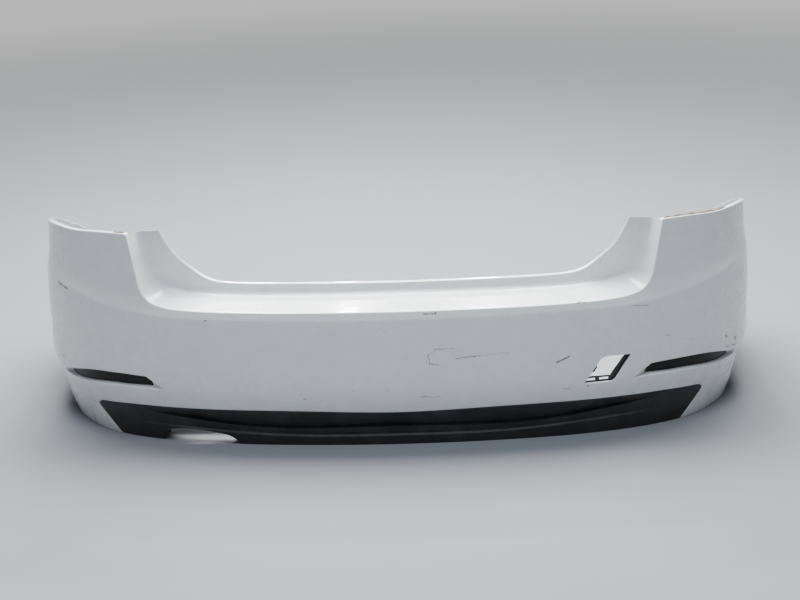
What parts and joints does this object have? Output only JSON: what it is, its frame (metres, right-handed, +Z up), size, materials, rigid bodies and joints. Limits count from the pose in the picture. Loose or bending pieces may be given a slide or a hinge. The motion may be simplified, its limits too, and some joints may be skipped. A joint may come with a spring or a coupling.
{
  "type": "rear bumper cover",
  "caption": "Painted rear bumper cover wrapping to both wheel arches, with a black lower valance, smoked reflectors, exhaust cut-out and open tow-eye hole.",
  "frame": {"origin": "middle of the bottom of the bounding box", "axes": "+X to the right seen from behind the car, +Y towards the car's front, +Z up"},
  "size_m": [1.7972, 0.7572, 0.5344],
  "materials": {
    "paint": "white gloss paint with scuffs",
    "grained_black": "fine grain, unpainted",
    "smoked_lens": "smoked prismatic lens",
    "housing_plastic": "plain moulded",
    "spring_steel": "phosphated spring steel",
    "foam": "torn open-cell sealing foam",
    "shield_metal": "dull sheet, dirty",
    "rivet_plastic": "moulded nylon"
  },
  "bodies": {
    "cover": {"bumper_skin": "paint", "lower_valance": "grained_black", "reflector_lens_left": "smoked_lens", "reflector_housing_left": "housing_plastic", "arch_clip_nut_left_1": "spring_steel", "arch_clip_nut_left_2": "spring_steel", "arch_clip_nut_left_3": "spring_steel", "lamp_clip_nut_left": "spring_steel", "reflector_lens_right": "smoked_lens", "reflector_housing_right": "housing_plastic", "arch_clip_nut_right_1": "spring_steel", "arch_clip_nut_right_2": "spring_steel", "arch_clip_nut_right_3": "spring_steel", "lamp_clip_nut_right": "spring_steel", "lamp_foam_left": "foam", "lamp_foam_right": "foam", "exhaust_heat_shield": "shield_metal", "shield_push_nut_1": "spring_steel", "shield_push_nut_2": "spring_steel", "valance_rivet_body_1": "rivet_plastic", "valance_rivet_body_2": "rivet_plastic", "valance_rivet_body_3": "rivet_plastic", "valance_rivet_body_4": "rivet_plastic", "valance_rivet_body_5": "rivet_plastic", "valance_rivet_body_6": "rivet_plastic"},
    "rivet_pin_1": {"valance_rivet_pin_1": "rivet_plastic"},
    "rivet_pin_2": {"valance_rivet_pin_2": "rivet_plastic"},
    "rivet_pin_3": {"valance_rivet_pin_3": "rivet_plastic"},
    "rivet_pin_4": {"valance_rivet_pin_4": "rivet_plastic"},
    "rivet_pin_5": {"valance_rivet_pin_5": "rivet_plastic"},
    "rivet_pin_6": {"valance_rivet_pin_6": "rivet_plastic"}
  },
  "joints": [
    {"name": "rivet_pin_1_pull", "type": "slide", "parent": "cover", "child": "rivet_pin_1", "axis": [0.159, 0.9873, 0], "range_m": [0, 0.007]},
    {"name": "rivet_pin_2_pull", "type": "slide", "parent": "cover", "child": "rivet_pin_2", "axis": [0.0759, 0.9971, 0], "range_m": [0, 0.007]},
    {"name": "rivet_pin_3_pull", "type": "slide", "parent": "cover", "child": "rivet_pin_3", "axis": [0.0264, 0.9997, 0], "range_m": [0, 0.007]},
    {"name": "rivet_pin_4_pull", "type": "slide", "parent": "cover", "child": "rivet_pin_4", "axis": [-0.0264, 0.9997, 0], "range_m": [0, 0.007]},
    {"name": "rivet_pin_5_pull", "type": "slide", "parent": "cover", "child": "rivet_pin_5", "axis": [-0.0759, 0.9971, 0], "range_m": [0, 0.007]},
    {"name": "rivet_pin_6_pull", "type": "slide", "parent": "cover", "child": "rivet_pin_6", "axis": [-0.159, 0.9873, 0], "range_m": [0, 0.007]}
  ]
}
